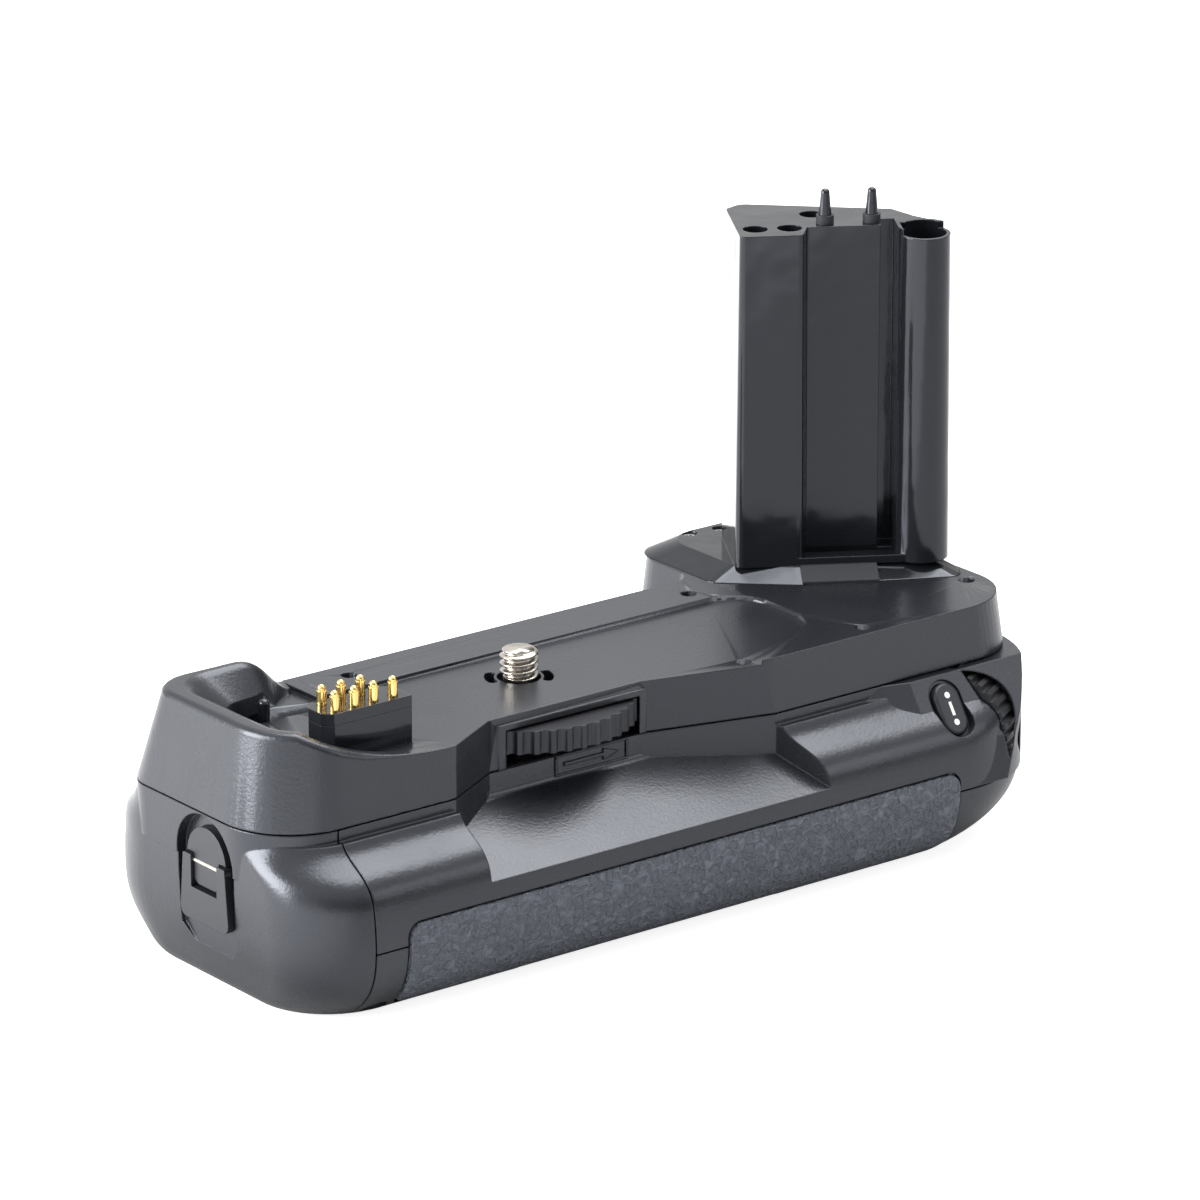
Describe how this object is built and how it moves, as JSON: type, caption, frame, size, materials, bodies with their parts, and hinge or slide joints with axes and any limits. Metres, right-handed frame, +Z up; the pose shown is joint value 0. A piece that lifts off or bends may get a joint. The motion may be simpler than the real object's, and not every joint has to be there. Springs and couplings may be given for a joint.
{
  "type": "camera battery grip",
  "caption": "Battery grip that screws under a camera, with a chamber post, sprung contacts, lock wheel, dials and a pull-out cell drawer.",
  "frame": {"origin": "on the tripod screw's axis, at the level of the seat under the camera", "axes": "+X along the grip towards the end with the dials, +Y towards the camera's lens side, +Z up along the tripod screw"},
  "size_m": [0.1599, 0.0707, 0.107],
  "materials": {
    "shell": "satin black plastic with a fine pebbled grain",
    "gloss_black": "glossy black plastic",
    "dark_matte": "matt dark plastic",
    "controls": "satin black plastic",
    "grip_rubber": "grained rubber",
    "bright_metal": "nickel plated metal",
    "gold": "gold plated brass",
    "steel": "plated steel",
    "board": "green board laminate",
    "chips": "black chip packages",
    "cell_wrap": "plain grey cell wrap"
  },
  "bodies": {
    "grip_body": {"top_cover": "shell", "main_housing": "shell", "bottom_cover": "shell", "rear_grip_pad": "grip_rubber", "front_grip_pad": "grip_rubber", "contact_block": "gloss_black", "contact_cap": "gloss_black", "pin_barrels": "gold", "locating_pin": "gloss_black", "chamber_insert": "gloss_black", "insert_catch": "dark_matte", "terminal_pins": "gloss_black", "terminal_collars": "dark_matte", "tripod_bush": "bright_metal", "circuit_board": "board", "board_components": "chips", "bay_contacts": "steel", "cover_screws": "steel", "insert_screws": "steel", "base_screws": "steel", "wheel_plate": "steel", "rear_switch": "dark_matte", "shutter_switch": "dark_matte", "rear_dial_shaft": "bright_metal", "front_dial_shaft": "bright_metal"},
    "lock_wheel": {"lock_wheel": "controls", "tripod_screw": "bright_metal", "screw_clip": "bright_metal"},
    "rear_button": {"rear_button": "controls"},
    "rear_dial": {"rear_dial": "controls"},
    "front_dial": {"front_dial": "controls"},
    "shutter_button": {"shutter_button": "bright_metal"},
    "shutter_lock": {"shutter_lock": "controls"},
    "magazine": {"end_cap": "shell", "cell_holder": "dark_matte", "holder_contacts": "steel", "aa_cell_1": "cell_wrap", "aa_cell_2": "cell_wrap", "aa_cell_3": "cell_wrap", "aa_cell_4": "cell_wrap", "aa_cell_5": "cell_wrap", "aa_cell_6": "cell_wrap"},
    "latch_knob": {"latch_knob": "controls", "latch_bolt": "gloss_black", "flap_pin": "bright_metal"},
    "latch_flap": {"latch_flap": "controls"},
    "contact_pin_1": {"contact_pin_1": "gold"},
    "contact_pin_2": {"contact_pin_2": "gold"},
    "contact_pin_3": {"contact_pin_3": "gold"},
    "contact_pin_4": {"contact_pin_4": "gold"},
    "contact_pin_5": {"contact_pin_5": "gold"},
    "contact_pin_6": {"contact_pin_6": "gold"},
    "contact_pin_7": {"contact_pin_7": "gold"}
  },
  "joints": [
    {"name": "lock_wheel_turn", "type": "hinge", "parent": "grip_body", "child": "lock_wheel", "pos_m": [0, 0, -0.00465], "axis": [0, 0, 1], "continuous": true},
    {"name": "rear_button_press", "type": "slide", "parent": "grip_body", "child": "rear_button", "axis": [0, 0.8332, -0.5529], "range_m": [0, 0.0008], "stiffness_N_per_m": 900},
    {"name": "rear_dial_turn", "type": "hinge", "parent": "grip_body", "child": "rear_dial", "pos_m": [0.077, -0.0171, -0.0215], "axis": [0.866, 0.5, 0], "continuous": true},
    {"name": "front_dial_turn", "type": "hinge", "parent": "grip_body", "child": "front_dial", "pos_m": [0.0775, 0.0285, -0.0215], "axis": [-0.866, 0.5, 0], "continuous": true},
    {"name": "shutter_press", "type": "slide", "parent": "grip_body", "child": "shutter_button", "axis": [-1, 0, 0], "range_m": [0, 0.001], "stiffness_N_per_m": 800},
    {"name": "shutter_lock_turn", "type": "hinge", "parent": "grip_body", "child": "shutter_lock", "pos_m": [0.094, 0.013, -0.0205], "axis": [1, 0, 0], "range_deg": [0, 40]},
    {"name": "magazine_slide", "type": "slide", "parent": "grip_body", "child": "magazine", "axis": [-1, 0, 0], "range_m": [0, 0.108]},
    {"name": "latch_turn", "type": "hinge", "parent": "magazine", "child": "latch_knob", "pos_m": [-0.0628, -0.0008, -0.017], "axis": [1, 0, 0], "range_deg": [0, 90]},
    {"name": "flap_lift", "type": "hinge", "parent": "latch_knob", "child": "latch_flap", "pos_m": [-0.06265, -0.0008, -0.0179], "axis": [0, 1, 0], "range_deg": [0, 90]},
    {"name": "contact_pin_1_press", "type": "slide", "parent": "grip_body", "child": "contact_pin_1", "axis": [0, 0, -1], "range_m": [0, 0.0015], "stiffness_N_per_m": 300},
    {"name": "contact_pin_2_press", "type": "slide", "parent": "grip_body", "child": "contact_pin_2", "axis": [0, 0, -1], "range_m": [0, 0.0015], "stiffness_N_per_m": 300},
    {"name": "contact_pin_3_press", "type": "slide", "parent": "grip_body", "child": "contact_pin_3", "axis": [0, 0, -1], "range_m": [0, 0.0015], "stiffness_N_per_m": 300},
    {"name": "contact_pin_4_press", "type": "slide", "parent": "grip_body", "child": "contact_pin_4", "axis": [0, 0, -1], "range_m": [0, 0.0015], "stiffness_N_per_m": 300},
    {"name": "contact_pin_5_press", "type": "slide", "parent": "grip_body", "child": "contact_pin_5", "axis": [0, 0, -1], "range_m": [0, 0.0015], "stiffness_N_per_m": 300},
    {"name": "contact_pin_6_press", "type": "slide", "parent": "grip_body", "child": "contact_pin_6", "axis": [0, 0, -1], "range_m": [0, 0.0015], "stiffness_N_per_m": 300},
    {"name": "contact_pin_7_press", "type": "slide", "parent": "grip_body", "child": "contact_pin_7", "axis": [0, 0, -1], "range_m": [0, 0.0015], "stiffness_N_per_m": 300}
  ],
  "couplings": [
    {"joint": "flap_lift", "follows": "latch_turn", "ratio": 1}
  ]
}
